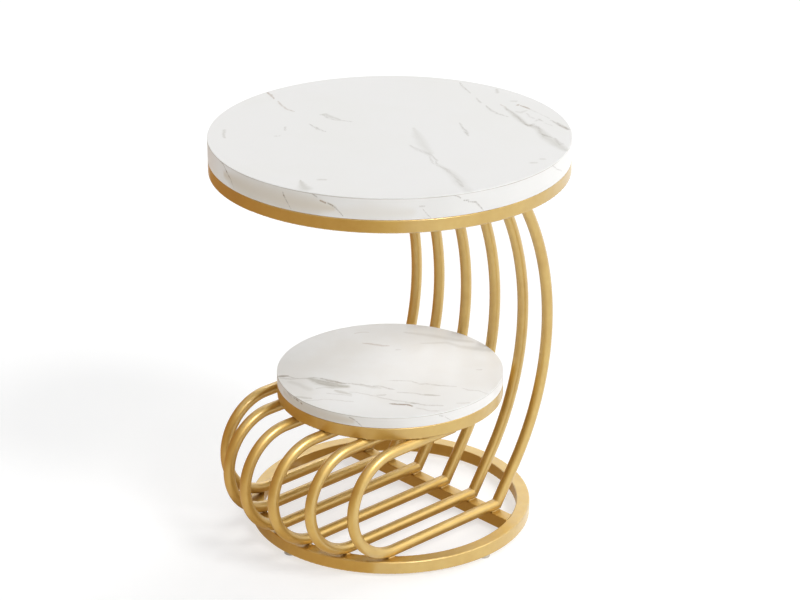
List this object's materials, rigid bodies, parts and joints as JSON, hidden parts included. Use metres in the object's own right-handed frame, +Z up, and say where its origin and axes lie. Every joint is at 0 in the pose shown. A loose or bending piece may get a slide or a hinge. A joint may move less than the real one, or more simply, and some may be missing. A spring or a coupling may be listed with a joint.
{
  "type": "side table",
  "caption": "Round tiered side table with marble-effect top and shelf on a gold frame of bent tubes.",
  "frame": {"origin": "on the shared axis of the round top, shelf and base ring, at floor level", "axes": "+Z up, the loops of the frame face -Y, the uprights stand at +Y, and the six tubes stand side by side along X"},
  "size_m": [0.5, 0.5057, 0.58],
  "materials": {
    "gold_frame": "satin gold coat on steel tube",
    "zinc_steel": "zinc plated",
    "brass_insert": "turned",
    "fibreboard": "raw medium density",
    "marble_laminate": "satin white laminate with grey marble veins",
    "marble_edge": "satin white edge band with grey marble veins",
    "glide_plastic": "moulded, tan",
    "plug_plastic": "moulded, gold brown"
  },
  "bodies": {
    "table": {"base_ring": "gold_frame", "base_crossbar": "gold_frame", "foot_rivet_nuts": "zinc_steel", "loop_end_plugs": "plug_plastic", "loop_tube_1": "gold_frame", "loop_tube_2": "gold_frame", "loop_tube_3": "gold_frame", "loop_tube_4": "gold_frame", "loop_tube_5": "gold_frame", "loop_tube_6": "gold_frame", "upright_tube_1": "gold_frame", "upright_tube_2": "gold_frame", "upright_tube_3": "gold_frame", "upright_tube_4": "gold_frame", "upright_tube_5": "gold_frame", "upright_tube_6": "gold_frame", "shelf_ring": "gold_frame", "shelf_crossbar": "gold_frame", "shelf_lugs": "gold_frame", "shelf_bolts": "zinc_steel", "shelf_inserts": "brass_insert", "shelf_core": "fibreboard", "shelf_edge_band": "marble_edge", "shelf_laminate": "marble_laminate", "top_ring": "gold_frame", "top_crossbar": "gold_frame", "top_lugs": "gold_frame", "top_bolts": "zinc_steel", "top_inserts": "brass_insert", "top_core": "fibreboard", "top_edge_band": "marble_edge", "top_laminate": "marble_laminate"},
    "glide_front": {"glide_pad_front": "glide_plastic", "glide_stud_front": "zinc_steel"},
    "glide_right": {"glide_pad_right": "glide_plastic", "glide_stud_right": "zinc_steel"},
    "glide_back": {"glide_pad_back": "glide_plastic", "glide_stud_back": "zinc_steel"},
    "glide_left": {"glide_pad_left": "glide_plastic", "glide_stud_left": "zinc_steel"}
  },
  "joints": [
    {"name": "glide_front_screw", "type": "slide", "parent": "table", "child": "glide_front", "axis": [0, 0, -1], "range_m": [0, 0.006]},
    {"name": "glide_right_screw", "type": "slide", "parent": "table", "child": "glide_right", "axis": [0, 0, -1], "range_m": [0, 0.006]},
    {"name": "glide_back_screw", "type": "slide", "parent": "table", "child": "glide_back", "axis": [0, 0, -1], "range_m": [0, 0.006]},
    {"name": "glide_left_screw", "type": "slide", "parent": "table", "child": "glide_left", "axis": [0, 0, -1], "range_m": [0, 0.006]}
  ]
}
